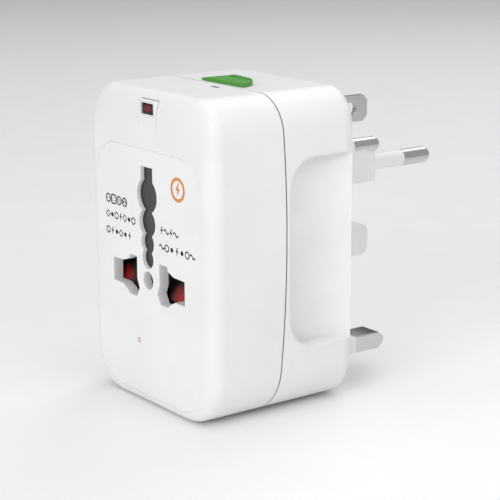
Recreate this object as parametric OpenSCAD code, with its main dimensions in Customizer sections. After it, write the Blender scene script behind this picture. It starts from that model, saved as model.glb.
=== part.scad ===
// Universal travel adapter: a white pocket case with a multi-standard socket in front, and
// retractable British and American pins and a fold-away European fork behind.
// X is left to right as seen from the socket side, +Y is towards the plug pins, +Z is up.
// The origin is on the base plane, under the middle of the case.

/* [Case] */
// Width of the case
body_w = 50; // [49.5:0.5:51]
// Depth of the case from socket face to pin face
body_d = 41.4; // [41.4:0.1:42]
// Height of the case
body_h = 73.5; // [73.5:0.1:74]
// Radius of the lower corners in front view
corner_low = 11; // [10:0.5:12]
// Radius of the upper corners in front view
corner_high = 8; // [7:0.5:8.5]
// Radius of the edge between socket face and sides
edge_side = 4; // [3.5:0.5:4]
// Radius of the edge between socket face and base
edge_base = 2.5; // [2:0.5:3]
// Radius of the edge round the pin face
edge_back = 3; // [2.5:0.5:3]
// Height over which the socket face leans back into the top
lean_h = 8.5; // [7:0.5:9]
// How far that lean goes back
lean_d = 3; // [2.5:0.5:3.5]
// Wall thickness
wall = 1.6; // [1.4:0.1:1.8]
// Radius of the curved joint between the two shells, seen from the side
seam_r = 300; // [250:10:400]

/* [Socket face] */
// Half width of the face panel
panel_x = 21; // [20.5:0.25:21]
// Lower edge of the face panel
panel_low = 2.3; // [2.3:0.1:2.8]
// Upper edge of the face panel
panel_high = 60.25; // [60:0.25:61]
// Corner radius of the face panel
panel_r = 8; // [7:0.5:8.5]
// Thickness of the face panel
panel_t = 1.1; // [1:0.1:1.2]
// Thickness of the shell wall behind the panel
face_wall = 1.5; // [1.4:0.1:1.6]
// Height of the live slots and of the small round hole
socket_z = 30; // [29.5:0.25:30.5]
// Middle of the indicator window, left to right
lamp_x = 0.75; // [0.5:0.25:1]
// Middle of the indicator window, height
lamp_z = 69.55; // [69.3:0.05:69.7]
// Sideways place of the surge light
surge_x = -4.2; // [-5:0.1:-4]
// Height of the surge light
surge_z = 14.9; // [14:0.1:16]

/* [Finger recess] */
// Lower end of the recess
recess_low = 15.5; // [15:0.5:17]
// Upper end of the recess
recess_high = 59; // [57:0.5:59]
// Front end of the recess
recess_front = 1.4; // [1.2:0.1:2]
// Greatest depth of the recess
recess_depth = 3.6; // [3:0.1:3.6]
// Radius of the hollow floor of the recess
recess_sweep = 17.2; // [16:0.2:19]
// Where the recess is deepest, behind the case's middle
recess_mid = 10; // [9.5:0.25:10.5]
// Corner radius of the recess
recess_r = 7; // [5:0.5:8]

/* [British pins] */
// Height of the live and neutral pins
uk_z = 8.8; // [8.8:0.05:8.9]
// Distance from middle to a live or neutral pin
uk_x = 11.1; // [11.1:0.01:11.12]
// Reach of the live and neutral pins
uk_reach = 17.9; // [17.5:0.1:17.9]
// Reach of the earth pin
uk_earth_reach = 22.7; // [22.5:0.1:22.7]
// Height of the earth pin above the other two
uk_rise = 22.2; // [22.2:0.01:22.23]

/* [American blades] */
// Height of the blades
us_z = 65.2; // [65:0.1:65.3]
// Distance from middle to a blade
us_x = 6.35; // [6.35:0.05:6.4]
// Reach of the blades
us_reach = 17.5; // [16:0.25:17.5]

/* [European fork] */
// Height of the pins
eu_z = 52.2; // [52.1:0.05:52.3]
// Distance from middle to a pin
eu_x = 9.35; // [9.3:0.05:9.4]
// Place of the pin tips behind the case's middle
eu_tip = 56; // [54:0.25:56]
// Place of the prong ends behind the case's middle
eu_prong = 37.4; // [36:0.25:38]
// Depth of the hinge axis behind the case's middle
eu_pivot_y = 17.1; // [17.05:0.05:17.1]
// Height of the hinge axis
eu_pivot_z = 51.4; // [51.3:0.05:51.4]

/* [Lock slider] */
// Left end of the thumb slider
lock_left = -7; // [-7.2:0.1:-6.8]
// Length of the thumb slider
lock_len = 16.8; // [16.4:0.2:17]
// Travel of the thumb slider
lock_travel = 2.8; // [2:0.1:3]

/* [Hidden] */
$fn = 48;

white = "#f1f2f3";
pale = "#e4e7e8";
steel = "#b9bcbe";
brass = "#c9a550";

eps = 0.02;
gap = 0.3;
front = -body_d / 2;
back = body_d / 2;
half = body_w / 2;
panel_back = front + panel_t;
face_back = panel_back + face_wall;
cavity_back = back - wall;
cavity_x = half - wall - 0.2;
waist_x = half - recess_depth - wall + 0.1;
seam_z = 41;
uk_y = back + uk_reach;
plate_x = 15.9;
plate_low = 4;
plate_high = 70.4;
screw_places = [[18.5, 7.5], [-18.5, 7.5], [19.3, 66.3], [-19.3, 66.3]];
post_places = [[17.6, 38], [-17.6, 38], [17.6, 55.5], [-17.6, 55.5]];
carrier_y = -9.2;
carrier_t = 1.5;

// One quarter of an ellipse: inset of an edge at depth t, for an edge deep a and high b
function ease(t, a, b) = t >= a ? 0 : b * (1 - sqrt(1 - pow(1 - t / a, 2)));
// Points along an arc
function arc(cx, cy, r, from, to, n = 6) =
    [for (i = [0 : n]) let (a = from + (to - from) * i / n) [cx + r * cos(a), cy + r * sin(a)]];
// Rounded outline, with one radius below and another above
function outline(hx, z0, z1, rb, rt) = concat(
    arc(hx - rb, z0 + rb, rb, -90, 0), arc(hx - rt, z1 - rt, rt, 0, 90),
    arc(rt - hx, z1 - rt, rt, 90, 180), arc(rb - hx, z0 + rb, rb, 180, 270));

// Lays a drawing made in X and Z upright and pulls it along Y
module along_y(y0, y1) translate([0, y1, 0]) rotate([90, 0, 0]) linear_extrude(y1 - y0) children();
// Lays a drawing made in Y and Z along X
module along_x(x0, x1) translate([x0, 0, 0]) rotate([90, 0, 90]) linear_extrude(x1 - x0) children();
module box(x0, x1, y0, y1, z0, z1) translate([x0, y0, z0]) cube([x1 - x0, y1 - y0, z1 - z0]);
module rod_y(x, z, r, y0, y1) translate([x, y1, z]) rotate([90, 0, 0]) cylinder(r = r, h = y1 - y0);
module rod_x(y, z, r, x0, x1) translate([x0, y, z]) rotate([0, 90, 0]) cylinder(r = r, h = x1 - x0);
module both_sides() { children(); mirror([1, 0, 0]) children(); }

// Rounded rectangle from true arcs
module rounded(x0, x1, z0, z1, r) {
    translate([x0 + r, z0]) square([x1 - x0 - 2 * r, z1 - z0]);
    translate([x0, z0 + r]) square([x1 - x0, z1 - z0 - 2 * r]);
    for (x = [x0 + r, x1 - r], z = [z0 + r, z1 - r]) translate([x, z]) circle(r);
}

// ---- case ----
module case_slice(y, side, base, top) translate([0, y, 0]) rotate([90, 0, 0])
    linear_extrude(eps, center = true)
    polygon(outline(half - side, base, body_h - top, corner_low - 0.8 * side, corner_high));

// The whole case as one smooth block
module case_block() hull() {
    for (t = [0, 0.3, 0.8, 1.6, 2.6, edge_side])
        case_slice(front + t + eps / 2, ease(t, edge_side, edge_side), ease(t, edge_base, edge_base),
            ease(t, lean_d, lean_h));
    for (t = [0, 0.25, 0.8, 1.7, edge_back])
        let (s = ease(t, edge_back, edge_back)) case_slice(back - t - eps / 2, s, s, s);
}

// Everything in front of the joint between the shells
module seam_zone(shift) rod_x(shift - seam_r, seam_z, seam_r, -half - 5, half + 5, $fn = 360);

// The hollow of the case, narrowed behind the finger recesses
module cavity(y0, y1, waist) difference() {
    along_y(y0, y1) difference() {
        rounded(-cavity_x, cavity_x, wall + 0.2, body_h - wall - 0.2, corner_high - wall);
        both_sides() translate([cavity_x, wall + 0.2]) difference() {
            translate([-corner_low + wall, 0]) square([corner_low, corner_low - wall]);
            translate([-corner_low + wall, corner_low - wall]) circle(corner_low - wall);
        }
    }
    if (waist) both_sides()
        box(waist_x, half, recess_front - wall, y1 + 1, recess_low - wall, recess_high + wall);
}

// Outline of a live or neutral slot
module live_slot_2d() translate([0, socket_z]) polygon([[4.6, 4.75], [7.75, 4.75], [8, 3.75],
    [10.3, 2.85], [14.7, 2.7], [14.7, -2.8], [10.9, -2.8], [8.9, -3.8], [7.9, -4.65], [4.9, -4.65],
    [3.7, -2.5], [4.6, -0.25]]);
// Outline of the stepped earth opening
module earth_column_2d() {
    translate([-2.4, 47]) square([4.8, 9.25]);
    translate([0, 49.7]) circle(4.05);
    translate([0, 43.4]) circle(3.3);
    translate([0, 38.76]) circle(2.6);
    translate([0, 35.1]) circle(2.3);
}
module socket_holes_2d() {
    both_sides() live_slot_2d();
    translate([0, socket_z]) circle(2.07);
    translate([surge_x, surge_z]) circle(0.65);
}

module front_shell() color(white) {
    difference() {
        union() {
            difference() {
                intersection() { case_block(); seam_zone(-0.05); }
                cavity(face_back, 5, false);
            }
            // Raised block that carries the indicator window
            box(lamp_x - 3.5, lamp_x + 3.5, front + 0.1, face_back + 0.4, panel_high + 0.4, body_h - 1.9);
            intersection() {
                union() {
                    for (p = screw_places) rod_y(p[0], p[1], 2.5, face_back - 0.5, 4);
                    for (p = post_places) rod_y(p[0], p[1], 1.4, face_back - 0.5, carrier_y);
                    rod_y(0, socket_z, 2.7, face_back - 0.5, -14.9);
                    translate([0, -13.2, 1]) cylinder(r = 2, h = 5);
                }
                seam_zone(-0.05);
            }
        }
        along_y(front - 1, panel_back) rounded(-panel_x - 0.05, panel_x + 0.05, panel_low - 0.05,
            panel_high + 0.05, panel_r + 0.05);
        along_y(front - 1, face_back + 1) socket_holes_2d();
        rod_y(0, socket_z, 2.07, front, -15.5);
        // Pocket that the earth door lies in, narrower beside the live slot
        box(-5.8, 2.2, front, face_back + 1, 32.75, 57.25);
        box(-5.8, 5.4, front, face_back + 1, 39, 57.25);
        for (z = [[31.9, 33], [57, 58.1]])
            translate([-5, panel_back + 0.75, z[0]]) cylinder(r = 0.45, h = z[1] - z[0], $fn = 24);
        box(lamp_x - 2.9, lamp_x + 2.9, front - 1, face_back + 2, lamp_z - 1.6, lamp_z + 1.6);
        for (p = screw_places) rod_y(p[0], p[1], 1.1, -11, 5, $fn = 24);
        box(3.1, 6, -4.9, -4.4, body_h - 0.25, body_h + 1);
    }
}

module socket_panel() color(white) along_y(front, panel_back) difference() {
    rounded(-panel_x, panel_x, panel_low, panel_high, panel_r);
    socket_holes_2d();
    earth_column_2d();
}

module led_bezel() color(white) along_y(front, front + 1.6) difference() {
    translate([lamp_x - 2.9, lamp_z - 1.6]) square([5.8, 3.2]);
    translate([lamp_x - 2.35, lamp_z - 1.05]) square([4.7, 2.1]);
}
module led_lens() color("#5e1220")
    box(lamp_x - 2.35, lamp_x + 2.35, front + 0.25, front + 1.5, lamp_z - 1.05, lamp_z + 1.05);
module neon_lamp() color("#e8a07a") {
    rod_y(lamp_x, lamp_z, 1.1, front + 1.7, -13.5);
    for (s = [-1, 1]) rod_y(lamp_x + s * 0.6, lamp_z, 0.2, -13.6, -11, $fn = 16);
}
module surge_led() color("#b9a3a0") {
    rod_y(surge_x, surge_z, 0.6, front + 0.6, -17.6);
    translate([surge_x, front + 0.6, surge_z]) intersection() {
        sphere(0.6);
        translate([-1, -1, -1]) cube([2, 1.1, 2]);
    }
}
module index_mark() color("#333333") box(3.1, 6, -4.9, -4.4, body_h - 0.25, body_h);

// Sprung door behind the stepped earth opening
module earth_flap() color("#4a4a4a") translate([-5, panel_back + 0.75, 0]) {
    difference() {
        translate([0, -0.5, 33]) cube([9.5, 1, 24]);
        translate([6.9, -1, 32]) cube([3, 2, 7.3]);
    }
    translate([0, 0, 33]) cylinder(r = 0.5, h = 24, $fn = 24);
    translate([0, 0, 32.1]) cylinder(r = 0.4, h = 25.8, $fn = 24);
}

// Ramps of the shutter on both sides, from x0 to x1, sloping back to top_y at height top
module shutter_ramps(x0, x1, top_y, top) both_sides() along_x(x0, x1)
    polygon([[-17.7, 25.8], [-17.7, 26.4], [top_y, top], [-14, top], [-14, 25.8]]);

// Red safety shutter: a ramp behind each live slot, lower towards the middle, joined by a bar
module shutter() color("#b3201d") {
    shutter_ramps(7.3, 18.2, -14.7, 35);
    shutter_ramps(3.9, 7.3, -15.9, 31.56);
    both_sides() box(7.3, 8.6, -14.5, -12.2, 20, 26.6);
    box(-8.6, 8.6, -14, -12.2, 20, 24.5);
}

// Sweeps a small hexagon along a helix about Z
module coil(r, wire, z0, z1, turns, steps = 12, sides = 6) {
    n = turns * steps;
    function ring(i) = let (a = 360 * i / steps, z = z0 + (z1 - z0) * i / n)
        [for (j = [0 : sides - 1]) let (b = 360 * j / sides)
            [(r + wire * cos(b)) * cos(a), (r + wire * cos(b)) * sin(a), z + wire * sin(b)]];
    polyhedron(
        points = [for (i = [0 : n]) each ring(i)],
        faces = concat([[for (j = [0 : sides - 1]) j]],
            [for (i = [0 : n - 1], j = [0 : sides - 1]) let (k = (j + 1) % sides)
                [i * sides + j, (i + 1) * sides + j, (i + 1) * sides + k, i * sides + k]],
            [[for (j = [sides - 1 : -1 : 0]) n * sides + j]]));
}
module shutter_spring() color(steel) translate([0, -13.2, 0]) coil(1.4, 0.2, 6.25, 19.75, 7);

module contact_carrier() color("#3b3d40") along_y(carrier_y, carrier_y + carrier_t) difference() {
    rounded(-19, 19, 24.5, 58, 2);
    translate([-4.3, 20]) square([8.6, 17.8]);
    both_sides() translate([10.1, 28.9]) square([2, 2.2]);
}

// Spring clip behind a live slot, made for the right side
module socket_clip() color(brass) {
    box(8.3, 13.9, carrier_y - 0.6, carrier_y, 27.2, 32.8);
    for (z = [27.2, 32.3]) box(8.3, 13.9, -13.4, carrier_y - 0.5, z, z + 0.5);
    box(10.1, 12.1, carrier_y - 0.1, -7.2, 28.9, 31.1);
}
module line_contact() socket_clip();
module neutral_contact() mirror([1, 0, 0]) socket_clip();
module busbar() color(brass) {
    box(10.1, 18.1, -7.2, -6.6, 28.9, 31.1);
    box(17.5, 18.1, -7.2, -3.6, 13, 62);
}
module line_busbar() busbar();
module neutral_busbar() mirror([1, 0, 0]) busbar();

module circuit_board() color("#2f6b45") box(-15.6, 15.6, -17.6, -16.6, 4.2, 18);
module surge_varistor() color("#2c5aa0") {
    rod_y(12.6, 12.3, 3.4, -16, -12.9);
    for (s = [-1, 1]) rod_y(12.6 + 2 * s, 12.3, 0.3, -16.6, -16, $fn = 16);
}
module filter_capacitor() color("#b7a23a") box(-15.4, -9.4, -16.6, -12.6, 12.2, 16.8);
module led_resistor() color("#c8b07a") rod_x(-15.6, 8.2, 1, -15, -9.4, $fn = 24);

// Hollow for the fingertips: a shallow cylinder that runs out to nothing at the pin face
module finger_scoop() intersection() {
    translate([half - recess_depth + recess_sweep, recess_mid, recess_low])
        cylinder(r = recess_sweep, h = recess_high - recess_low);
    along_x(half - recess_depth - 1, half + 1)
        rounded(recess_front, back + 12, recess_low, recess_high, recess_r);
}

module rear_shell() color(white) difference() {
    union() {
        difference() {
            intersection() {
                case_block();
                difference() { box(-half, half, -6, back, 0, body_h); seam_zone(0.05); }
            }
            cavity(-7, cavity_back, true);
        }
        difference() {
            union() {
                for (p = screw_places) rod_y(p[0], p[1], 3.3, -4, cavity_back + 0.3);
                // Rails that the carriages slide on
                both_sides() box(9.8, 11.8, 0, cavity_back + 0.3, 1, 5.3);
                both_sides() box(12.3, cavity_x + 0.5, 2, cavity_back + 0.3, 61.2, 62.6);
            }
            seam_zone(0.05);
        }
    }
    both_sides() finger_scoop();
    along_y(cavity_back - 0.5, back + 1)
        rounded(-plate_x - 0.05, plate_x + 0.05, plate_low - 0.05, plate_high + 0.05, 4.05);
    for (p = screw_places) {
        rod_y(p[0], p[1], 1.3, -6, back, $fn = 24);
        rod_y(p[0], p[1], 2.4, 4, back + 1);
    }
    // Slot of the thumb slider
    box(-3.3, 3.3 + lock_travel, 1.2, 4.2, body_h - 4, body_h + 1);
}

// Pin face, with the pocket that the folded European fork lies in
module back_plate() color(white) difference() {
    union() {
        along_y(cavity_back, back) rounded(-plate_x, plate_x, plate_low, plate_high, 4);
        both_sides() box(6.1, 12.6, 12.3, cavity_back + 0.1, 11.2, 56);
        box(-12.6, 12.6, 12.3, cavity_back + 0.1, 46.8, 56);
    }
    both_sides() box(7, 11.7, 13.2, back + 1, 12.1, 55.1);
    box(-11.7, 11.7, 13.2, back + 1, 47.7, 55.1);
    rod_x(eu_pivot_y, eu_pivot_z, 1.2, -13, 13);
    both_sides() box(uk_x - 3.5, uk_x + 3.5, cavity_back - 1, back + 1, uk_z - 2.3, uk_z + 2.3);
    box(-2.3, 2.3, cavity_back - 1, back + 1, uk_z + uk_rise - 4.3, uk_z + uk_rise + 4.3);
    both_sides() rod_y(us_x, us_z, 4.4, cavity_back - 1, back + 1);
}

module case_screws() color(steel) for (p = screw_places) difference() {
    union() {
        rod_y(p[0], p[1], 1.1, -10.5, 4.1, $fn = 24);
        rod_y(p[0], p[1], 2.1, 4, 5.6);
    }
    for (a = [0, 90]) translate([p[0], 5.6, p[1]]) rotate([0, a, 0]) cube([2.4, 1.4, 0.5], center = true);
}

// Thumb slider seen from above: a straight front edge and a back edge that bulges
module slider_2d() {
    right = lock_left + lock_len;
    polygon([[lock_left, -0.75], [right - 0.3, -0.75], [right, -0.4], [right - 1.9, 3.4], [right - 2.7, 3.8],
        [4.5, 4.3], [1.8, 4.65], [-0.8, 4.8], [-3, 4.7], [-4.6, 3.9], [-6, 2.2], [lock_left, 0.2]]);
}
module lock_slider() color("#57a04a") {
    low = body_h + 0.1;
    ridge = body_h + 1.25;
    right = lock_left + lock_len;
    intersection() {
        translate([0, 0, low]) linear_extrude(height = 1.4) slider_2d();
        union() {
            intersection() {
                along_y(-1, 5) polygon([[lock_left, low], [lock_left, body_h + 0.6], [lock_left + 3, body_h + 1],
                    [lock_left + 6.5, ridge], [right - 2, ridge], [right, body_h + 1.05], [right, low]]);
                along_x(lock_left, right)
                    polygon([[-1, low], [-1, body_h + 0.85], [0.9, ridge], [5, ridge], [5, low]]);
            }
            // Ribs for the thumb
            for (i = [0 : 7]) translate([lock_left + 6.8 + i, 0, body_h])
                box(0, 0.5, 2.6, 5, 1, 1.5);
        }
    }
    box(-3, 3, 1.5, 3.9, body_h - 2.3, body_h + 0.2);
    box(-5, 5, 0.9, 4.5, body_h - 2.9, body_h - 2.1);
}

module us_carriage() color(pale) difference() {
    along_y(12.8, 18.3) rounded(-12, 12, 60.4, 70, 2);
    both_sides() rod_y(us_x, us_z, 3.55, 12, 19);
}
// Swivel that carries one blade
module us_rotor(x) color(pale) difference() {
    union() {
        rod_y(x, us_z, 4.1, 18.5, back);
        rod_y(x, us_z, 3.5, 12.2, 18.6);
        rod_y(x, us_z, 3.9, 11.9, 12.6);
    }
    box(x - 0.75, x + 0.75, 18.5, back + 1, us_z - 3.175, us_z + 3.175);
    box(x - 0.75, x + 0.75, 11, 18.6, us_z - 2.2, us_z + 2.2);
}
module us_blade(x) color(steel) difference() {
    along_x(x - 0.75, x + 0.75) polygon([[12.2, us_z - 2.2], [18.5, us_z - 2.2], [18.5, us_z - 3.175],
        [back + us_reach - 1.3, us_z - 3.175], [back + us_reach, us_z - 1.9], [back + us_reach, us_z + 1.9],
        [back + us_reach - 1.3, us_z + 3.175], [18.5, us_z + 3.175], [18.5, us_z + 2.2], [12.2, us_z + 2.2]]);
    rod_x(back + 12.5, us_z, 1.6, x - 2, x + 2);
}
module us_rotor_left() us_rotor(-us_x);
module us_rotor_right() us_rotor(us_x);
module us_blade_left() us_blade(-us_x);
module us_blade_right() us_blade(us_x);

module eu_hinge_pin() color(steel) rod_x(eu_pivot_y, eu_pivot_z, 1.2, -12.5, 12.5);
module eu_fork() color(pale) difference() {
    union() {
        both_sides() along_x(eu_x - 2, eu_x + 2) {
            translate([eu_pivot_y, eu_pivot_z]) circle(3.45);
            translate([eu_pivot_y, eu_pivot_z - 3.45]) square([eu_prong - eu_pivot_y, 6.9]);
        }
        rod_x(eu_pivot_y, eu_pivot_z, 3.3, -eu_x, eu_x);
    }
    rod_x(eu_pivot_y, eu_pivot_z, 1.25, -13, 13);
    both_sides() rod_y(eu_x, eu_z, 1.3, 24, eu_prong + 1);
}
module eu_sleeve(x) color(pale) difference() {
    rod_y(x, eu_z, 2, eu_prong, eu_prong + 9.5);
    rod_y(x, eu_z, 1.3, eu_prong - 1, eu_prong + 10);
}
module eu_pin(x) color(steel) {
    rod_y(x, eu_z, 1.3, 24, eu_prong + 9.6);
    rod_y(x, eu_z, 2, eu_prong + 9.5, eu_tip - 1.6);
    translate([x, eu_tip - 1.6, eu_z]) rotate([-90, 0, 0]) rotate_extrude() intersection() {
        translate([0, -0.4]) circle(2);
        square([2, 2]);
    }
}
module eu_sleeve_left() eu_sleeve(-eu_x);
module eu_sleeve_right() eu_sleeve(eu_x);
module eu_pin_left() eu_pin(-eu_x);
module eu_pin_right() eu_pin(eu_x);

module uk_carriage() color(pale) difference() {
    union() {
        along_y(13.8, 18.8) rounded(-14.8, 14.8, 5.6, 10.9, 1);
        box(-3.5, 3.5, 13.8, 18.8, 8, 36);
    }
    both_sides() box(uk_x - 2.6, uk_x + 2.6, 13, 20, uk_z - 1.4, uk_z + 1.4);
    box(-1.3, 1.3, 15, 20, uk_z + uk_rise - 3, uk_z + uk_rise + 3);
}
// Flat pin: a narrow core through the carriage and sleeve, then the full section and a tapered tip
module uk_pin(x) color(steel) {
    box(x - 2.6, x + 2.6, 12.3, back + 9.1, uk_z - 1.4, uk_z + 1.4);
    box(x - 3.175, x + 3.175, back + 9, uk_y - 1.8, uk_z - 2, uk_z + 2);
    hull() {
        box(x - 3.175, x + 3.175, uk_y - 1.9, uk_y - 1.8, uk_z - 2, uk_z + 2);
        box(x - 2.9, x + 2.9, uk_y - 0.1, uk_y, uk_z - 0.5, uk_z + 0.5);
    }
}
module uk_sleeve(x) color(pale) difference() {
    box(x - 3.175, x + 3.175, 18.8, back + 9, uk_z - 2, uk_z + 2);
    box(x - 2.6, x + 2.6, 18, back + 10, uk_z - 1.4, uk_z + 1.4);
}
module uk_line_pin() uk_pin(uk_x);
module uk_neutral_pin() uk_pin(-uk_x);
module uk_line_sleeve() uk_sleeve(uk_x);
module uk_neutral_sleeve() uk_sleeve(-uk_x);
module uk_earth_pin() color(pale) {
    along_x(-2, 2) {
        translate([18.8, uk_z + uk_rise - 4]) square([5, 8]);
        rounded(20, back + uk_earth_reach, uk_z + uk_rise - 4, uk_z + uk_rise + 4, 2.2);
    }
    box(-1.3, 1.3, 15, 18.9, uk_z + uk_rise - 3, uk_z + uk_rise + 3);
}

front_shell();
socket_panel();
led_bezel();
led_lens();
neon_lamp();
surge_led();
index_mark();
earth_flap();
shutter();
shutter_spring();
contact_carrier();
line_contact();
neutral_contact();
line_busbar();
neutral_busbar();
circuit_board();
surge_varistor();
filter_capacitor();
led_resistor();
rear_shell();
back_plate();
case_screws();
lock_slider();
us_carriage();
us_rotor_left();
us_rotor_right();
us_blade_left();
us_blade_right();
eu_hinge_pin();
eu_fork();
eu_sleeve_left();
eu_sleeve_right();
eu_pin_left();
eu_pin_right();
uk_carriage();
uk_line_pin();
uk_neutral_pin();
uk_line_sleeve();
uk_neutral_sleeve();
uk_earth_pin();
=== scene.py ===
"""Looks of a universal travel adapter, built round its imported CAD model.

Shapes are drawn in millimetres, in the CAD model's frame, and turned into metres as each mesh is made:
X is left to right as seen from the socket side, +Y is towards the plug pins and +Z is up.
"""
import math

import bmesh
import bpy
from mathutils import Matrix, Vector


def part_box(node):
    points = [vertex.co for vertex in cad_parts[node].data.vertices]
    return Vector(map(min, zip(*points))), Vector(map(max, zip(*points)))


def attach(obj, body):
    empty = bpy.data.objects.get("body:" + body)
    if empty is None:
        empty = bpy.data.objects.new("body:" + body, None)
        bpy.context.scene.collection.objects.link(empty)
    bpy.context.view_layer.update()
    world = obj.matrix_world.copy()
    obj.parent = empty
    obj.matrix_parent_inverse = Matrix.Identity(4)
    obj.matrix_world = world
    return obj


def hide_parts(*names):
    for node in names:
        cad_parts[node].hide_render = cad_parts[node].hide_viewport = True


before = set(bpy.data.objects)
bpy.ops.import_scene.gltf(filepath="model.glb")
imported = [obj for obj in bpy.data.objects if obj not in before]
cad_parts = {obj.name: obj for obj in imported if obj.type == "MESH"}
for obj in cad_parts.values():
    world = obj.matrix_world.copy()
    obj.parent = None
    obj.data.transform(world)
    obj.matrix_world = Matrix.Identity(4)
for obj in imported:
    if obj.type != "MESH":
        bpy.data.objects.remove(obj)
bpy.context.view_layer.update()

MM = 0.001


def box_of(node):
    """Lowest and highest corner of a CAD node, in millimetres."""
    low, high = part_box(node)
    return low / MM, high / MM


# ---- sizes, from the frame where it has them ----
SHELL_LOW, SHELL_HIGH = box_of("front_shell")
PANEL_LOW, PANEL_HIGH = box_of("socket_panel")
PLATE_LOW, PLATE_HIGH = box_of("back_plate")
LENS_LOW, LENS_HIGH = box_of("led_lens")
SLIDER_LOW, SLIDER_HIGH = box_of("lock_slider")
HALF = SHELL_HIGH.x
HEIGHT = SHELL_HIGH.z
FRONT = SHELL_LOW.y
BACK = box_of("rear_shell")[1].y
PANEL_BACK = PANEL_HIGH.y
FACE_WALL = 1.5
FACE_BACK = PANEL_BACK + FACE_WALL
WALL = 1.6
CAVITY_BACK = BACK - WALL
CORNER_LOW = 11
CORNER_HIGH = 8
EDGE_SIDE = 4
EDGE_BASE = 2.5
EDGE_BACK = 3
EDGE_BACK_SIDE = 4.3
LEAN_HIGH = 8.5
LEAN_DEEP = 3
SEAM_RADIUS = 300
SEAM_MIDDLE = 41
SEAM_GAP = 0.22
PANEL_CORNER = 8
PANEL_EDGE = 0.16
SOCKET_Z = 30
LAMP = (LENS_LOW + LENS_HIGH) / 2
SURGE_LIGHT = (box_of("surge_led")[0] + box_of("surge_led")[1]) / 2
SCREWS = [(18.5, 7.5), (-18.5, 7.5), (19.3, 66.3), (-19.3, 66.3)]
POST_FRONT, POST_REAR = 2.5, 3.3
BORE_FRONT, BORE_REAR, SCREW_HEAD = 1.1, 1.3, 2.4
ROUND_HOLE = 2.07
LIGHT_HOLE = 0.65
BOSS_HALF = 3.5
BOSS_TOP = HEIGHT - 2.05
WINDOW_HALF = (2.9, 1.6)
WINDOW = (2.5, 1.28)
INDEX_DEEP = 0.25
INK_LIFT = 0.012
SLIDER_TRAVEL = 2.8
RECESS = {"front": 1.4, "low": 15.5, "high": 59, "depth": 3.6, "sweep": 17.2, "middle": 10, "corner": 7}


# ---- outlines: lists of points (u, v) ----
def arc(u, v, radius, start, end, steps=12):
    angles = [math.radians(start + (end - start) * i / steps) for i in range(steps + 1)]
    return [(u + radius * math.cos(a), v + radius * math.sin(a)) for a in angles]


def circle(u, v, radius, steps=64):
    return arc(u, v, radius, 0, 360, steps)[:-1]


def between(a, b, steps):
    """Points strictly between a and b."""
    return [(a[0] + (b[0] - a[0]) * i / steps, a[1] + (b[1] - a[1]) * i / steps) for i in range(1, steps)]


def rounded(u0, u1, v0, v1, r, r_high=None, steps=12, side_steps=1):
    """Rectangle with round corners, r below and r_high above, its upright sides cut into side_steps."""
    rh = r if r_high is None else r_high
    corners = [arc(u1 - r, v0 + r, r, -90, 0, steps), arc(u1 - rh, v1 - rh, rh, 0, 90, steps),
               arc(u0 + rh, v1 - rh, rh, 90, 180, steps), arc(u0 + r, v0 + r, r, 180, 270, steps)]
    right = between(corners[0][-1], corners[1][0], side_steps)
    left = between(corners[2][-1], corners[3][0], side_steps)
    return corners[0] + right + corners[1] + corners[2] + left + corners[3]


def turned_left(points):
    """The same outline, running anticlockwise."""
    area = sum(a[0] * b[1] - b[0] * a[1] for a, b in zip(points, points[1:] + points[:1]))
    return points if area > 0 else points[::-1]


def grown(points, by):
    """The outline moved outwards by a small distance, with mitred corners."""
    points = turned_left(points)
    moved = []
    for i, p in enumerate(points):
        before, after = points[i - 1], points[(i + 1) % len(points)]
        normals = []
        for a, b in ((before, p), (p, after)):
            length = math.hypot(b[0] - a[0], b[1] - a[1])
            normals.append(((b[1] - a[1]) / length, (a[0] - b[0]) / length))
        (ax, ay), (bx, by_) = normals
        share = by / (1 + ax * bx + ay * by_)
        moved.append((p[0] + (ax + bx) * share, p[1] + (ay + by_) * share))
    return moved


def quarter(size, steps):
    """Insets and depths of a rounded edge, from its outer end inwards."""
    angles = [math.pi / 2 * i / steps for i in range(steps + 1)]
    return [(size * (1 - math.sin(a)), size * (1 - math.cos(a))) for a in angles]


# ---- meshes ----
def place(points, axis, level):
    """Lays an outline across an axis, at a level along it."""
    if axis == "x":
        return [(level, u, v) for u, v in points]
    if axis == "y":
        return [(u, level, v) for u, v in points]
    return [(u, v, level) for u, v in points]


def add_bands(bm, rows):
    """Joins each closed row of points to the next with a band of faces."""
    count = len(rows[0])
    for a, b in zip(rows, rows[1:]):
        for i in range(count):
            j = (i + 1) % count
            bm.faces.new((a[i], a[j], b[j], b[i]))


def add_skin(bm, rings):
    """Adds a closed solid through rings of points, capped at both ends."""
    rows = [[bm.verts.new(p) for p in ring] for ring in rings]
    add_bands(bm, rows)
    bm.faces.new(rows[0])
    bm.faces.new(rows[-1])


def mesh_object(name, bm):
    bmesh.ops.recalc_face_normals(bm, faces=bm.faces)
    bmesh.ops.scale(bm, vec=(MM, MM, MM), verts=bm.verts)
    mesh = bpy.data.meshes.new(name)
    bm.to_mesh(mesh)
    bm.free()
    obj = bpy.data.objects.new(name, mesh)
    bpy.context.scene.collection.objects.link(obj)
    return obj


def skin(name, rings):
    bm = bmesh.new()
    add_skin(bm, rings)
    return mesh_object(name, bm)


def soft_prism(name, points, axis, low, high, soft=0.2, steps=4):
    """Outline pulled along an axis, with both end edges rounded."""
    points = turned_left(points)
    ends = quarter(soft, steps)
    rings = [place(grown(points, -inset), axis, low + depth) for inset, depth in ends]
    rings += [place(grown(points, -inset), axis, high - depth) for inset, depth in reversed(ends)]
    return skin(name, rings)


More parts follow.
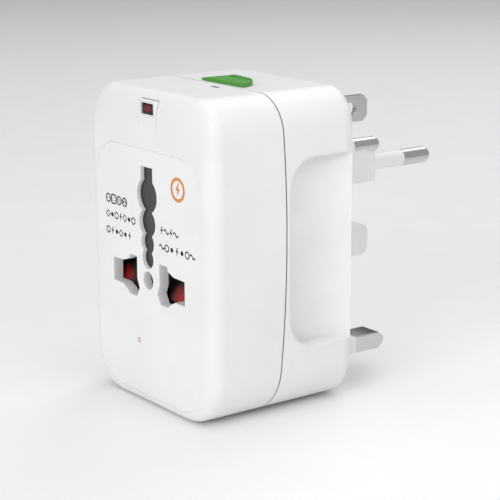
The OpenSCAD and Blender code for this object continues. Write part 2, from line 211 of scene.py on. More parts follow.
def mouth(points, axis, surface, bottom, flare=0.2, steps=4):
    """Cutter for a hole whose edge is rounded where it opens at surface and which ends at bottom."""
    points = turned_left(points)
    way = 1 if bottom > surface else -1
    rings = [place(grown(points, flare), axis, surface - way)]
    for growth, depth in quarter(flare, steps):
        rings.append(place(grown(points, growth), axis, surface + way * depth))
    rings.append(place(points, axis, bottom))
    return skin("cutter", rings)


def block(x0, x1, y0, y1, z0, z1):
    """Plain block, only for cutting and joining."""
    return skin("block", [place([(x0, z0), (x1, z0), (x1, z1), (x0, z1)], "y", y) for y in (y0, y1)])


def rod(name, x, z, radius, y0, y1):
    return skin(name, [place(circle(x, z, radius, 48), "y", y) for y in (y0, y1)])


def settle(obj):
    """Applies the object's modifiers."""
    graph = bpy.context.evaluated_depsgraph_get()
    mesh = bpy.data.meshes.new_from_object(obj.evaluated_get(graph))
    obj.modifiers.clear()
    obj.data = mesh
    return obj


def combine(obj, operation, others):
    """Joins, cuts or intersects with other meshes, which are then removed."""
    for other in others:
        boolean = obj.modifiers.new("combine", "BOOLEAN")
        boolean.operation = operation
        boolean.solver = "EXACT"
        boolean.object = other
    settle(obj)
    for other in others:
        bpy.data.objects.remove(other)
    return obj


def round_edges(obj, width, angle):
    """Bevels the edges that are sharper than an angle."""
    edge = obj.modifiers.new("edges", "BEVEL")
    edge.width = width * MM
    edge.segments = 3
    edge.limit_method = "ANGLE"
    edge.angle_limit = math.radians(angle)
    return edge


def tidy(obj, angle=35):
    """Cleans the mesh and gives it smooth shading with firm edges."""
    bm = bmesh.new()
    bm.from_mesh(obj.data)
    bmesh.ops.remove_doubles(bm, verts=bm.verts, dist=0.002 * MM)
    bmesh.ops.dissolve_degenerate(bm, edges=bm.edges, dist=0.001 * MM)
    bm.to_mesh(obj.data)
    bm.free()
    obj.data.shade_smooth()
    obj.data.set_sharp_from_angle(angle=math.radians(angle))
    even = obj.modifiers.new("even normals", "WEIGHTED_NORMAL")
    even.keep_sharp = True
    even.weight = 80
    return settle(obj)


# ---- materials ----
def material(name, colour, roughness, grain=1500, bump=0.04, mottle=0.03, metallic=0.0, coat=0.0, **sockets):
    """Moulded or plated surface: fine grain in the bump, slow drift in colour and roughness."""
    made = bpy.data.materials.new(name)
    made.use_nodes = True
    nodes, links = made.node_tree.nodes, made.node_tree.links
    shader = nodes["Principled BSDF"]
    shader.inputs["Metallic"].default_value = metallic
    shader.inputs["Coat Weight"].default_value = coat
    for socket, value in sockets.items():
        shader.inputs[socket.replace("_", " ")].default_value = value
    where = nodes.new("ShaderNodeTexCoord")

    def noise(scale, detail):
        node = nodes.new("ShaderNodeTexNoise")
        node.inputs["Scale"].default_value = scale
        node.inputs["Detail"].default_value = detail
        links.new(where.outputs["Object"], node.inputs["Vector"])
        return node

    slow = noise(60, 3)
    ramp = nodes.new("ShaderNodeValToRGB")
    ramp.color_ramp.elements[0].position = 0.3
    ramp.color_ramp.elements[1].position = 0.7
    ramp.color_ramp.elements[0].color = [c * (1 - mottle) for c in colour[:3]] + [1]
    ramp.color_ramp.elements[1].color = [min(1, c * (1 + mottle)) for c in colour[:3]] + [1]
    links.new(slow.outputs["Fac"], ramp.inputs["Fac"])
    links.new(ramp.outputs["Color"], shader.inputs["Base Color"])

    span = nodes.new("ShaderNodeMapRange")
    span.inputs["To Min"].default_value = roughness * 0.85
    span.inputs["To Max"].default_value = roughness * 1.15
    links.new(noise(220, 4).outputs["Fac"], span.inputs["Value"])
    links.new(span.outputs["Result"], shader.inputs["Roughness"])

    relief = nodes.new("ShaderNodeBump")
    relief.inputs["Strength"].default_value = bump
    relief.inputs["Distance"].default_value = 0.05 * MM
    links.new(noise(grain, 6).outputs["Fac"], relief.inputs["Height"])
    links.new(relief.outputs["Normal"], shader.inputs["Normal"])
    return made


def brushed(name, colour, roughness, axis, stretch=40):
    """Plated metal with fine drawn lines along one axis."""
    made = material(name, colour, roughness, grain=2500, bump=0.12, mottle=0.05, metallic=1.0)
    nodes, links = made.node_tree.nodes, made.node_tree.links
    where = next(n for n in nodes if n.type == "TEX_COORD")
    mapping = nodes.new("ShaderNodeMapping")
    scale = [1.0, 1.0, 1.0]
    scale["xyz".index(axis)] = 1 / stretch
    mapping.inputs["Scale"].default_value = scale
    links.new(where.outputs["Object"], mapping.inputs["Vector"])
    for node in nodes:
        if node.type == "TEX_NOISE" and node.inputs["Scale"].default_value > 1000:
            links.new(mapping.outputs["Vector"], node.inputs["Vector"])
    return made


def vector_maths(made, steps):
    """Runs the object-space position through vector operations, with values in millimetres."""
    nodes, links = made.node_tree.nodes, made.node_tree.links
    result = next(n for n in nodes if n.type == "TEX_COORD").outputs["Object"]
    for operation, value in steps:
        node = nodes.new("ShaderNodeVectorMath")
        node.operation = operation
        links.new(result, node.inputs[0])
        if value:
            unit = 1 if operation == "MULTIPLY" else MM
            node.inputs[1].default_value = [c * unit for c in value]
        result = node.outputs["Value" if operation == "LENGTH" else "Vector"]
    return result


def blend(made, amount, start, end, colour):
    """Blends the surface into another colour as amount goes from start to end."""
    nodes, links = made.node_tree.nodes, made.node_tree.links
    shader = nodes["Principled BSDF"]
    span = nodes.new("ShaderNodeMapRange")
    span.inputs["From Min"].default_value = start
    span.inputs["From Max"].default_value = end
    links.new(amount, span.inputs["Value"])
    mix = nodes.new("ShaderNodeMix")
    mix.data_type = "RGBA"
    links.new(span.outputs["Result"], mix.inputs["Factor"])
    links.new(shader.inputs["Base Color"].links[0].from_socket, mix.inputs[6])
    mix.inputs[7].default_value = (*colour, 1)
    links.new(mix.outputs[2], shader.inputs["Base Color"])
    return made


def paint_shade_away(made, middle, offset, reach, far, start=0.0):
    """Paints shade on a material: darkens it away from one point, or from a mirrored pair of points offset
    from middle.
    """
    distance = vector_maths(made, [("SUBTRACT", middle), ("ABSOLUTE", None), ("SUBTRACT", offset),
                                   ("DIVIDE", reach), ("LENGTH", None)])
    return blend(made, distance, start, 1, far)


def paint_joint_shadow(made):
    """Darkens the walls of the joint between the shells: painted shadow for the gap between them."""
    radius = vector_maths(made, [("SUBTRACT", (0, -SEAM_RADIUS, SEAM_MIDDLE)), ("MULTIPLY", (0, 1, 1)),
                                 ("LENGTH", None)])
    nodes, links = made.node_tree.nodes, made.node_tree.links
    for operation, value in (("SUBTRACT", SEAM_RADIUS * MM), ("ABSOLUTE", 0)):
        node = nodes.new("ShaderNodeMath")
        node.operation = operation
        links.new(radius, node.inputs[0])
        node.inputs[1].default_value = value
        radius = node.outputs["Value"]
    return blend(made, radius, (SEAM_GAP / 2 + 0.09) * MM, (SEAM_GAP / 2 + 0.01) * MM, (0.36, 0.36, 0.36))


# The white plastic carries painted shadow along the joint between the shells.
WHITE = paint_joint_shadow(material("white plastic", (0.87, 0.875, 0.885), 0.42, Specular_IOR_Level=0.38))
FACE = material("panel plastic", (0.89, 0.895, 0.90), 0.34, bump=0.015, coat=0.1)
PALE = material("pale plastic", (0.85, 0.87, 0.865), 0.36)
INK = material("black ink", (0.02, 0.02, 0.022), 0.7, bump=0.1, mottle=0.2, Specular_IOR_Level=0.25)
ORANGE = material("orange ink", (0.72, 0.26, 0.045), 0.5, bump=0.1, mottle=0.06)
GREY = material("dark grey plastic", (0.058, 0.058, 0.06), 0.55, bump=0.15, mottle=0.08)
# The shutter's red is painted darker away from two spots low on its ramps, near black above and inwards:
# painted shade for the inside of the slots.
RED = paint_shade_away(material("red plastic", (0.42, 0.014, 0.012), 0.35, mottle=0.08), (-3, -16, 27.3), (12.3, 0, 0),
           (4.6, 1000, 3.4), (0.006, 0.003, 0.003), start=0.15)
GREEN = material("green plastic", (0.078, 0.33, 0.04), 0.45, bump=0.08, mottle=0.05, Specular_IOR_Level=0.3)
# The lens is painted darker towards its rim, near black at the edge: painted shade from the frame around it.
LENS = paint_shade_away(material("red lens", (0.17, 0.018, 0.035), 0.2, bump=0.01, mottle=0.12, Specular_IOR_Level=0.2),
            tuple(LAMP), (0, 0, 0), (2.4, 1000, 1.25), (0.003, 0.001, 0.002), start=0.3)
CLEAR = material("clear lens", (0.70, 0.56, 0.54), 0.15, coat=0.5)
LAMP_GLASS = material("lamp glass", (0.85, 0.45, 0.25), 0.1, Transmission_Weight=0.6)
STEEL = brushed("bright steel", (0.58, 0.58, 0.60), 0.28, "y")
NICKEL = brushed("nickel plate", (0.60, 0.60, 0.61), 0.24, "y")
BRASS = brushed("contact brass", (0.70, 0.50, 0.20), 0.3, "z")
BOARD = material("board", (0.03, 0.17, 0.07), 0.4, mottle=0.1)
BLUE = material("blue epoxy", (0.02, 0.08, 0.32), 0.25, bump=0.2)
YELLOW = material("yellow film", (0.55, 0.42, 0.06), 0.3)
TAN = material("resistor lacquer", (0.52, 0.38, 0.2), 0.35)


def dress(obj, look):
    obj.data.materials.clear()
    obj.data.materials.append(look)
    return obj


def stand_in(obj, node, body, look, slot, *others):
    """Puts a finished piece in the place of a CAD node, on that node's body."""
    dress(obj, look)
    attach(obj, body)
    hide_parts(node, *others)
    return obj


# ---- case ----
def ease(depth, deep, high):
    """Inset of a rounded edge at a depth, for an edge that is deep by high."""
    return 0 if depth >= deep else high * (1 - math.sqrt(1 - (1 - depth / deep) ** 2))


def case_outline(side, base, top):
    return rounded(side - HALF, HALF - side, base, HEIGHT - top, CORNER_LOW - 0.8 * side, CORNER_HIGH,
                   steps=14, side_steps=24)


def case_ring(y, inset):
    return place(case_outline(inset, inset, inset), "y", y)


def seam_ring(inset, shift):
    """Ring along the curved joint between the shells, shifted along Y."""
    return [(u, shift - SEAM_RADIUS + math.sqrt(SEAM_RADIUS ** 2 - (v - SEAM_MIDDLE) ** 2), v)
            for u, v in case_outline(inset, inset, inset)]


def seam_edge(way, soft=0.15, steps=4):
    """Rings that round the outer edge at the joint. way is -1 in front of it and 1 behind it."""
    return [seam_ring(inset, way * (SEAM_GAP / 2 + shift)) for shift, inset in quarter(soft, steps)]


def fillet_depths(sizes, steps=9):
    """Depths at which to place rings, so that edges of several sizes all come out round."""
    shares = [1 - math.cos(math.pi / 2 * i / steps) for i in range(steps + 1)]
    return sorted({round(size * share, 4) for size in sizes for share in shares})


def live_slot():
    return [(u, SOCKET_Z + v) for u, v in (
        (4.6, 4.75), (7.75, 4.75), (8, 3.75), (10.3, 2.85), (14.7, 2.7), (14.7, -2.8), (10.9, -2.8),
        (8.9, -3.8), (7.9, -4.65), (4.9, -4.65), (3.7, -2.5), (4.6, -0.25))]


def mirrored(points):
    return [(-u, v) for u, v in points]


def earth_opening():
    """Outline of a slot and four circles of falling size, one under the other."""
    half_slot, top = 2.4, 56.25
    circles = [(49.7, 4.05), (43.4, 3.3), (38.76, 2.6), (35.1, 2.3)]
    right = [(half_slot, top)]
    start = math.degrees(math.asin(math.sqrt(circles[0][1] ** 2 - half_slot ** 2) / circles[0][1]))
    for i, (z, r) in enumerate(circles):
        if i + 1 < len(circles):
            below_z, below_r = circles[i + 1]
            gap = z - below_z
            drop = (gap ** 2 + r ** 2 - below_r ** 2) / (2 * gap)
            end = -math.degrees(math.asin(drop / r))
            next_start = math.degrees(math.asin((gap - drop) / below_r))
        else:
            end, next_start = -90, 0
        right += arc(0, z, r, start, end, 18)[min(i, 1):]
        start = next_start
    return right + mirrored(right[-2::-1])


def face_holes(bottom, surface=FRONT, flare=0.22):
    holes = [live_slot(), mirrored(live_slot()), circle(0, SOCKET_Z, ROUND_HOLE)]
    cutters = [mouth(h, "y", surface, bottom, flare) for h in holes]
    light = circle(SURGE_LIGHT.x, SURGE_LIGHT.z, LIGHT_HOLE, 32)
    return cutters + [mouth(light, "y", surface, bottom, 0.08)]


def index_outline():
    return rounded(3.1, 6, -5.25, -4.25, 0.2, steps=4)


def index_line():
    """Inlaid dash on the top, which the slider's tip points past."""
    return tidy(soft_prism("index_line", index_outline(), "z", HEIGHT - INDEX_DEEP, HEIGHT, 0.04))


def window_outline(half_x, half_z):
    """Rectangle round the middle of the indicator window."""
    return [(LAMP.x + s * half_x, LAMP.z + t * half_z) for s, t in ((-1, -1), (1, -1), (1, 1), (-1, 1))]


def front_shell():
    """Front half of the case: rounded front edges, window boss and groove, panel pocket and posts."""
    rings = [place(case_outline(ease(t, EDGE_SIDE, EDGE_SIDE), ease(t, EDGE_BASE, EDGE_BASE),
                                ease(t, LEAN_DEEP, LEAN_HIGH)), "y", FRONT + t)
             for t in fillet_depths((EDGE_SIDE, EDGE_BASE, LEAN_DEEP))]
    rings += seam_edge(-1)
    rings += [seam_ring(WALL, -SEAM_GAP / 2), case_ring(FACE_BACK, WALL)]
    shell = skin("front_case", rings)
    left, right, low = LAMP.x - BOSS_HALF, LAMP.x + BOSS_HALF, PANEL_HIGH.z - 2
    boss = soft_prism("boss", [(left, low), (right, low), (right, BOSS_TOP), (left, BOSS_TOP)],
                      "y", FRONT + 0.03, FACE_BACK + 0.4, 0.25)
    posts = [rod("post", x, z, POST_FRONT, FACE_BACK - 0.5, -3) for x, z in SCREWS]
    combine(shell, "UNION", [boss] + posts)
    groove_low, groove_high = HEIGHT - LEAN_HIGH + 0.6, BOSS_TOP + 0.19
    groove = block(left - 0.08, right + 0.2, FRONT - 1, FRONT + 1.9, groove_low, groove_high)
    combine(groove, "DIFFERENCE", [block(left, right, FRONT - 2, FRONT + 3, PANEL_HIGH.z - 3, BOSS_TOP)])
    fit = 0.025
    pocket = mouth(rounded(PANEL_LOW.x - fit, PANEL_HIGH.x + fit, PANEL_LOW.z - fit, PANEL_HIGH.z + fit,
                           PANEL_CORNER + fit, steps=20), "y", FRONT, PANEL_BACK, 0.08)
    window = window_outline(*WINDOW_HALF)
    cutters = [groove, pocket, mouth(window, "y", FRONT + 0.03, FACE_BACK + 2, 0.1),
               block(-5.8, 2.2, PANEL_BACK - 0.5, FACE_BACK + 1, 32.75, 57.25),
               block(2.1, 5.4, PANEL_BACK - 0.5, FACE_BACK + 1, 39, 57.25)]
    cutters += face_holes(FACE_BACK + 1)
    cutters += [rod("bore", x, z, BORE_FRONT, -11, 5) for x, z in SCREWS]
    cutters.append(skin("index", [place(index_outline(), "z", z) for z in (HEIGHT - INDEX_DEEP, HEIGHT + 1)]))
    combine(shell, "DIFFERENCE", cutters)
    return tidy(shell)


def socket_panel():
    """Inset face with the live slots, the round hole, the light's hole and the earth opening."""
    shape = rounded(PANEL_LOW.x, PANEL_HIGH.x, PANEL_LOW.z, PANEL_HIGH.z, PANEL_CORNER, steps=20)
    rings = [place(grown(shape, -inset), "y", FRONT + depth) for inset, depth in quarter(PANEL_EDGE, 4)]
    panel = skin("face_panel", rings + [place(shape, "y", PANEL_BACK)])
    earth = mouth(earth_opening(), "y", FRONT, PANEL_BACK + 1)
    combine(panel, "DIFFERENCE", face_holes(PANEL_BACK + 1) + [earth])
    return tidy(panel)


def finger_scoop(side):
    """Cutter for one finger recess: a hollow cylinder floor inside a rounded outline."""
    r = RECESS
    shape = rounded(r["front"], BACK + 12, r["low"], r["high"], r["corner"], steps=24)
    cutter = mouth(shape, "x", side * HALF, side * (HALF - r["depth"] - 1), 0.8, 8)
    floor_x = side * (HALF - r["depth"] + r["sweep"])
    floor = skin("floor", [place(circle(floor_x, r["middle"], r["sweep"], 480), "z", z)
                           for z in (r["low"] - 2, r["high"] + 2)])
    return combine(cutter, "INTERSECT", [floor])


def rear_shell():
    """Rear half of the case: rounded back edges, recesses, plate opening, screw holes and slider slot."""
    rings = [case_ring(CAVITY_BACK, WALL), seam_ring(WALL, SEAM_GAP / 2)]
    rings += reversed(seam_edge(1))
    for t in reversed(fillet_depths((EDGE_BACK, EDGE_BACK_SIDE), 10)):
        side, end = ease(t, EDGE_BACK_SIDE, EDGE_BACK_SIDE), ease(t, EDGE_BACK, EDGE_BACK)
        rings.append(place(case_outline(side, end, end), "y", BACK - t))
    shell = skin("rear_case", rings)
    waist = HALF - RECESS["depth"] - WALL
    outside = HALF - 0.8
    low, high = RECESS["low"] - WALL, RECESS["high"] + WALL
    blocks = [block(x0, x1, RECESS["front"] - WALL, CAVITY_BACK + 0.2, low, high)
              for x0, x1 in ((-outside, -waist), (waist, outside))]
    posts = [rod("post", x, z, POST_REAR, 0, CAVITY_BACK + 0.3) for x, z in SCREWS]
    combine(shell, "UNION", blocks + posts)
    fit = 0.05
    opening = rounded(PLATE_LOW.x - fit, PLATE_HIGH.x + fit, PLATE_LOW.z - fit, PLATE_HIGH.z + fit, 4 + fit)
    cutters = [finger_scoop(1), finger_scoop(-1), mouth(opening, "y", BACK, CAVITY_BACK - 1, 0.12)]
    cutters += [mouth(circle(x, z, SCREW_HEAD), "y", BACK, 4, 0.25) for x, z in SCREWS]
    cutters += [rod("bore", x, z, BORE_REAR, -6, 5) for x, z in SCREWS]
    cutters.append(block(-3.3, 3.3 + SLIDER_TRAVEL, 1.2, 4.2, HEIGHT - 4, HEIGHT + 1))
    combine(shell, "DIFFERENCE", cutters)
    return tidy(shell)


def smoothed(points, rounds=2):
    """Closed outline with its corners cut again and again."""
    for _ in range(rounds):
        points = [p for a, b in zip(points, points[1:] + points[:1])
                  for p in ((0.75 * a[0] + 0.25 * b[0], 0.75 * a[1] + 0.25 * b[1]),
                            (0.25 * a[0] + 0.75 * b[0], 0.25 * a[1] + 0.75 * b[1]))]
    return points


def slider_plan(inset=0.0):
    """The slider seen from above: a straight front edge and a back edge that bulges."""
    x0, x1 = SLIDER_LOW.x, SLIDER_HIGH.x
    front = [(x0, -0.75), (x1 - 5, -0.75), (x1 - 0.5, -0.75), (x1, -0.45)]
    right_end = [(x1 - 0.75, 1.2), (x1 - 1.9, 3.4), (x1 - 2.8, 3.8)]
    bulge = [(4.5, 4.3), (1.8, 4.65), (-0.8, 4.8), (-3, 4.7), (-4.6, 3.9), (-6, 2.2), (x0, 0.2)]
    corners = front + right_end + bulge
    return grown(smoothed(corners), -inset)


def lock_slider():
    """Thumb slider: thin at its left tip, rising to the right, with a sloping front and ribs behind."""
    x0, x1 = SLIDER_LOW.x, SLIDER_HIGH.x
    low, ridge, lip, tip = HEIGHT + 0.1, 1.22, 0.86, 0.5
    slider = skin("thumb_slider", [place(slider_plan(), "z", z) for z in (low, HEIGHT + 2)])
    side = [(x0 - 1, low - 1), (x1 + 1, low - 1), (x1 + 0.05, HEIGHT + lip), (x1 - 1.9, HEIGHT + ridge)]
    side += [(x0 + 7 * (1 - i / 16), HEIGHT + tip + (ridge - tip) * math.cos(math.pi / 2 * i / 16))
             for i in range(17)]
    slope = [(-2, low - 1), (6, low - 1), (6, HEIGHT + ridge), (1.3, HEIGHT + ridge), (-0.75, HEIGHT + lip),
             (-2, HEIGHT + lip - 0.22)]
    combine(slider, "INTERSECT", [skin("side", [place(side, "y", y) for y in (-3, 7)]),
                                  skin("slope", [place(slope, "x", x) for x in (x0 - 2, x1 + 2)])])
    round_edges(slider, 0.1, 25)
    settle(slider)
    ribs = []
    first_rib, rib_step, rib_half = x0 + 6.2, 1.25, 0.24
    for x in (first_rib + rib_step * i for i in range(7)):
        shape = rounded(x - rib_half, x + rib_half, HEIGHT + 0.9, SLIDER_HIGH.z, 0.18, steps=5)
        ribs.append(soft_prism("rib", shape, "y", 2.8, 6, 0.15))
    grip = combine(ribs[0], "UNION", ribs[1:])
    within = skin("within", [place(slider_plan(0.04), "z", z) for z in (HEIGHT, HEIGHT + 2)])
    combine(grip, "INTERSECT", [within])
    stem = block(-3, 3, 1.5, 3.9, HEIGHT - 2.3, HEIGHT + 0.3)
    foot = block(-5, 5, 0.9, 4.5, HEIGHT - 2.9, HEIGHT - 2.1)
    combine(slider, "UNION", [grip, stem, foot])
    return tidy(slider, 30)


def bezel():
    inner = window_outline(*WINDOW)
    frame_piece = soft_prism("window_frame", grown(inner, 0.29), "y", FRONT, FRONT + 1.6, 0.1)
    combine(frame_piece, "DIFFERENCE", [mouth(inner, "y", FRONT, FRONT + 3, 0.12)])
    return tidy(frame_piece)


def lens():
    """Slightly crowned window, set back in its frame. Each ring is a share of the outline at a depth."""
    crown = [(0.5, 0.30), (0.75, 0.33), (0.9, 0.39), (0.98, 0.48), (1, 0.6), (1, 1.5)]
    rings = []
    for share, depth in crown:
        half_x, half_z = (half * share for half in WINDOW)
        shape = rounded(-half_x, half_x, -half_z, half_z, 0.15 * share, steps=4)
        rings.append([(LAMP.x + u, FRONT + depth, LAMP.z + v) for u, v in shape])
    return tidy(skin("window_lens", rings), 60)


def hole_liner():
    """Dark tube behind the small round hole."""
    inner, outer, front, rear = 2.0, 2.7, FACE_BACK - 0.35, -14.9
    bm = bmesh.new()
    rows = [[bm.verts.new(p) for p in place(circle(0, SOCKET_Z, r), "y", y)]
            for r, y in ((outer, front), (inner, front), (inner, rear), (outer, rear))]
    add_bands(bm, rows + rows[:1])
    return tidy(mesh_object("hole_liner", bm))


# ---- print on the face: pictograms only ----
def add_prism(bm, points):
    add_skin(bm, [place(points, "y", FRONT - INK_LIFT), place(points, "y", FRONT + INK_LIFT)])


def add_stroke(bm, points, width, closed=True):
    """Line of ink of one width along a path."""
    path = turned_left(points) if closed else points
    outer, inner = [], []
    count = len(path)
    for i in range(count):
        before = path[i - 1] if closed or i else path[0]
        after = path[(i + 1) % count] if closed or i + 1 < count else path[-1]
        du, dv = after[0] - before[0], after[1] - before[1]
        length = math.hypot(du, dv)
        nu, nv = dv / length * width / 2, -du / length * width / 2
        outer.append((path[i][0] + nu, path[i][1] + nv))
        inner.append((path[i][0] - nu, path[i][1] - nv))
    if not closed:
        add_prism(bm, outer + inner[::-1])
        return
    front, rear = FRONT - INK_LIFT, FRONT + INK_LIFT
    loops = [[bm.verts.new(p) for p in place(loop, "y", y)]
             for loop, y in ((outer, front), (inner, front), (inner, rear), (outer, rear))]
    add_bands(bm, loops + loops[:1])


def regular(u, v, radius, sides, turn=90):
    return [(u + radius * math.cos(math.radians(turn + 360 * i / sides)),
             v + radius * math.sin(math.radians(turn + 360 * i / sides))) for i in range(sides)]


def bolt(u, v, size):
    shape = [(0.15, 1), (-0.55, -0.12), (-0.05, -0.12), (-0.2, -1), (0.55, 0.2), (0.05, 0.2), (0.4, 1)]
    return [(u + a * size, v + b * size) for a, b in shape]


def add_glyph(bm, kind, u, v, size):
    """One small pictogram centred at (u, v), size high."""
    r, line = size / 2, 0.34
    if kind == "round_socket":
        add_stroke(bm, circle(u, v, r - line / 2, 28), line)
        for s in (-1, 1):
            add_prism(bm, circle(u + s * r * 0.36, v, 0.2, 12))
    elif kind == "square_socket":
        add_stroke(bm, rounded(u - r + 0.1, u + r - 0.1, v - r + 0.1, v + r - 0.1, 0.4, steps=4), line)
        add_prism(bm, rounded(u - 0.14, u + 0.14, v + 0.12, v + 0.6, 0.1, steps=2))
        for s in (-1, 1):
            middle = u + s * 0.42
            add_prism(bm, rounded(middle - 0.18, middle + 0.18, v - 0.5, v - 0.24, 0.08, steps=2))
    elif kind == "blade_socket":
        add_stroke(bm, circle(u, v, r - line / 2, 28), line)
        for s in (-1, 1):
            add_prism(bm, rounded(u + s * 0.36 - 0.1, u + s * 0.36 + 0.1, v - 0.4, v + 0.4, 0.06, steps=2))
    elif kind == "slant_socket":
        add_stroke(bm, circle(u, v, r - line / 2, 28), line)
        for s in (-1, 1):
            add_stroke(bm, [(u + s * 0.2, v + 0.42), (u + s * 0.55, v - 0.3)], line, closed=False)
    elif kind == "bolt":
        add_prism(bm, bolt(u, v, r))
    elif kind == "wave":
        path = [(u - r + size * i / 16, v + 0.45 * r * math.sin(2 * math.pi * i / 16)) for i in range(17)]
        add_stroke(bm, path, line, closed=False)
    elif kind == "dot":
        add_prism(bm, circle(u, v, r * 0.55, 20))
    else:
        sides = {"triangle": 3, "diamond": 4, "hexagon": 6}[kind]
        add_stroke(bm, regular(u, v, r - line / 2, sides), line)


PRINT_ROWS = [
    (["round_socket", "square_socket", "blade_socket", "slant_socket"], -17.4, -8.2, 46.65, 2.2),
    (["diamond", "dot", "hexagon", "bolt", "diamond", "dot", "hexagon"], -17.5, -4.7, 42.9, 1.95),
    (["hexagon", "bolt", "dot", "diamond", "dot", "bolt"], -17.5, -6.4, 39.05, 1.95),
    (["bolt", "wave", "bolt", "wave"], 5.0, 12.6, 42.85, 2.0),
    (["wave", "hexagon", "dot", "bolt", "dot", "hexagon", "wave"], 5.0, 19.0, 39.1, 2.0),
]
EMBLEM = (12.6, 53.15)


def print_row(bm, kinds, left, right, z, size):
    """Pictograms spread evenly from left to right, at height z."""
    for i, kind in enumerate(kinds):
        u = left + size / 2 + (right - left - size) * i / (len(kinds) - 1)
        add_glyph(bm, kind, u, z, size)


def face_print():
    bm = bmesh.new()
    for kinds, left, right, z, size in PRINT_ROWS:
        print_row(bm, kinds, left, right, z, size)
    return tidy(mesh_object("face_pictograms", bm), 30)


def orange_print():
    bm = bmesh.new()
    add_stroke(bm, circle(*EMBLEM, 2.4, 48), 0.75)
    add_prism(bm, bolt(*EMBLEM, 1.6))
    return tidy(mesh_object("face_emblem", bm), 30)


# ---- CAD nodes that keep their shape ----
def refine(node, look, bevel=0.15):
    """Gives a CAD node its material, rounded edges and smooth shading, without touching its mesh."""
    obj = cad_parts[node]
    dress(obj, look)
    obj.data.shade_smooth()
    weld = obj.modifiers.new("weld", "WELD")
    weld.merge_threshold = 0.0005 * MM
    flat = obj.modifiers.new("flat faces", "DECIMATE")
    flat.decimate_type = "DISSOLVE"
    flat.angle_limit = math.radians(0.6)
    if bevel:
        round_edges(obj, bevel, 40).harden_normals = True
    even = obj.modifiers.new("even normals", "WEIGHTED_NORMAL")
    even.keep_sharp = True


KEPT = {
    "neon_lamp": (LAMP_GLASS, 0), "surge_led": (CLEAR, 0), "earth_flap": (GREY, 0.1),
    "shutter": (RED, 0.2), "shutter_spring": (STEEL, 0), "contact_carrier": (GREY, 0.1),
    "line_contact": (BRASS, 0.05), "neutral_contact": (BRASS, 0.05), "line_busbar": (BRASS, 0.05),
    "neutral_busbar": (BRASS, 0.05), "circuit_board": (BOARD, 0), "surge_varistor": (BLUE, 0.3),
    "filter_capacitor": (YELLOW, 0.3), "led_resistor": (TAN, 0.2), "back_plate": (WHITE, 0.15),
    "case_screws": (STEEL, 0.1), "us_carriage": (PALE, 0.2), "us_rotor_left": (PALE, 0.15),
    "us_rotor_right": (PALE, 0.15), "us_blade_left": (NICKEL, 0.2), "us_blade_right": (NICKEL, 0.2),
    "eu_hinge_pin": (STEEL, 0.1), "eu_fork": (PALE, 0.25), "eu_sleeve_left": (PALE, 0.08),
    "eu_sleeve_right": (PALE, 0.08), "eu_pin_left": (NICKEL, 0.05), "eu_pin_right": (NICKEL, 0.05),
    "uk_carriage": (PALE, 0.2), "uk_line_pin": (NICKEL, 0.2), "uk_neutral_pin": (NICKEL, 0.2),
    "uk_line_sleeve": (PALE, 0.15), "uk_neutral_sleeve": (PALE, 0.15), "uk_earth_pin": (PALE, 0.3),
}


def build():
    stand_in(front_shell(), "front_shell", "root", WHITE, "white_shell")
    stand_in(rear_shell(), "rear_shell", "root", WHITE, "white_shell")
    stand_in(socket_panel(), "socket_panel", "root", FACE, "panel_white")
    stand_in(index_line(), "index_mark", "root", INK, "black_ink")
    stand_in(bezel(), "led_bezel", "root", WHITE, "white_shell")
    stand_in(lens(), "led_lens", "root", LENS, "red_lens")
    stand_in(lock_slider(), "lock_slider", "lock", GREEN, "green_plastic")
    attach(dress(hole_liner(), GREY), "root")
    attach(dress(face_print(), INK), "root")
    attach(dress(orange_print(), ORANGE), "root")
    for node, (look, bevel) in KEPT.items():
        refine(node, look, bevel)


# ---- studio ----
CAMERA_AT = (298.15, -212.75, 124.39)
CAMERA_ANGLES = (53.45, 13.85, -0.15)
LENS_MM = 115.74
MIDDLE = (0, 0, 0.037)


def camera():
    """Camera of the photograph, from its azimuth, elevation and roll."""
    azimuth, elevation, roll = (math.radians(a) for a in CAMERA_ANGLES)
    out = Vector((math.sin(azimuth) * math.cos(elevation), -math.cos(azimuth) * math.cos(elevation),
                  math.sin(elevation)))
    right = Vector((math.cos(azimuth), math.sin(azimuth), 0))
    up = out.cross(right)
    turned_right = right * math.cos(roll) + up * math.sin(roll)
    turned_up = up * math.cos(roll) - right * math.sin(roll)
    turn = Matrix((turned_right, turned_up, out)).transposed().to_4x4()
    data = bpy.data.cameras.new("camera")
    data.lens = LENS_MM
    data.sensor_width = 36
    data.clip_start, data.clip_end = 0.01, 20
    obj = bpy.data.objects.new("camera", data)
    obj.matrix_world = Matrix.Translation(Vector(CAMERA_AT) * MM) @ turn
    bpy.context.scene.collection.objects.link(obj)
    bpy.context.scene.camera = obj


def aim(obj, place_at, axis):
    """Puts a piece of the studio in its place, with one of its axes towards the object."""
    obj.location = place_at
    obj.rotation_euler = (Vector(MIDDLE) - Vector(place_at)).to_track_quat(axis, "Y").to_euler()
    bpy.context.scene.collection.objects.link(obj)


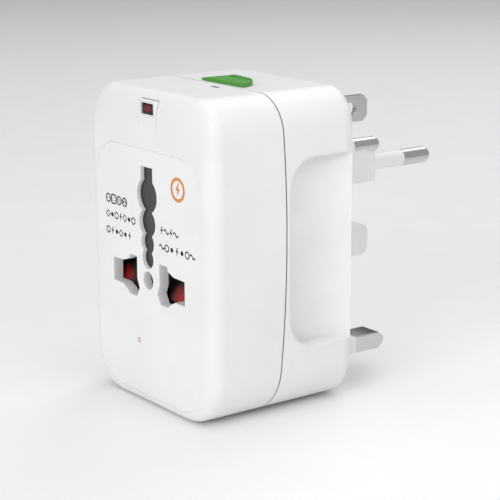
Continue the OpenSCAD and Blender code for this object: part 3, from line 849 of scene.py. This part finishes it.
def dark_card(name, place_at, size):
    """Black card that only shows as a dark streak in bright metal."""
    bm = bmesh.new()
    w, h = size[0] / 2, size[1] / 2
    corners = [(-w, -h, 0), (w, -h, 0), (w, h, 0), (-w, h, 0)]
    bm.faces.new([bm.verts.new(c) for c in corners])
    mesh = bpy.data.meshes.new(name)
    bm.to_mesh(mesh)
    bm.free()
    obj = dress(bpy.data.objects.new(name, mesh), INK)
    obj.visible_camera = False
    obj.visible_diffuse = False
    obj.visible_shadow = False
    aim(obj, place_at, "Z")


def softbox(name, place_at, size, power):
    data = bpy.data.lights.new(name, "AREA")
    data.shape = "RECTANGLE"
    data.size = data.size_y = size
    data.energy = power
    obj = bpy.data.objects.new(name, data)
    obj.visible_camera = False
    aim(obj, place_at, "-Z")


def studio():
    """White surroundings, four soft lights, the dark card and the floor."""
    world = bpy.data.worlds.new("studio")
    world.use_nodes = True
    back = world.node_tree.nodes["Background"]
    back.inputs["Color"].default_value = (1, 1, 1, 1)
    back.inputs["Strength"].default_value = 0.45
    bpy.context.scene.world = world
    softbox("key light", (0.14, 0.0, 0.17), 0.08, 0.056)
    softbox("front light", (0.3, -0.7, 0.3), 0.4, 2.0)
    softbox("overhead light", (0, 0, 0.9), 1.0, 2.8)
    softbox("rear light", (-0.3, 0.6, 0.7), 0.5, 1.3)
    dark_card("dark card", (-0.94, 0.72, 0.14), (0.7, 0.27))
    floor()
    bpy.context.scene.view_settings.view_transform = "Standard"


def floor():
    """Pale floor just under the case."""
    bm = bmesh.new()
    reach, steps = 2.2, 24
    marks = [reach * (2 * i / steps - 1) for i in range(steps + 1)]
    verts = [[bm.verts.new((x, y, 0)) for y in marks] for x in marks]
    for i in range(steps):
        for j in range(steps):
            bm.faces.new((verts[i][j], verts[i + 1][j], verts[i + 1][j + 1], verts[i][j + 1]))
    mesh = bpy.data.meshes.new("floor")
    bm.to_mesh(mesh)
    bm.free()
    obj = bpy.data.objects.new("floor", mesh)
    obj.location.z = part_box("front_shell")[0].z - 0.0001
    bpy.context.scene.collection.objects.link(obj)
    dress(obj, material("pale floor", (0.955, 0.955, 0.955), 0.6, bump=0.02, mottle=0.01))


build()
camera()
studio()
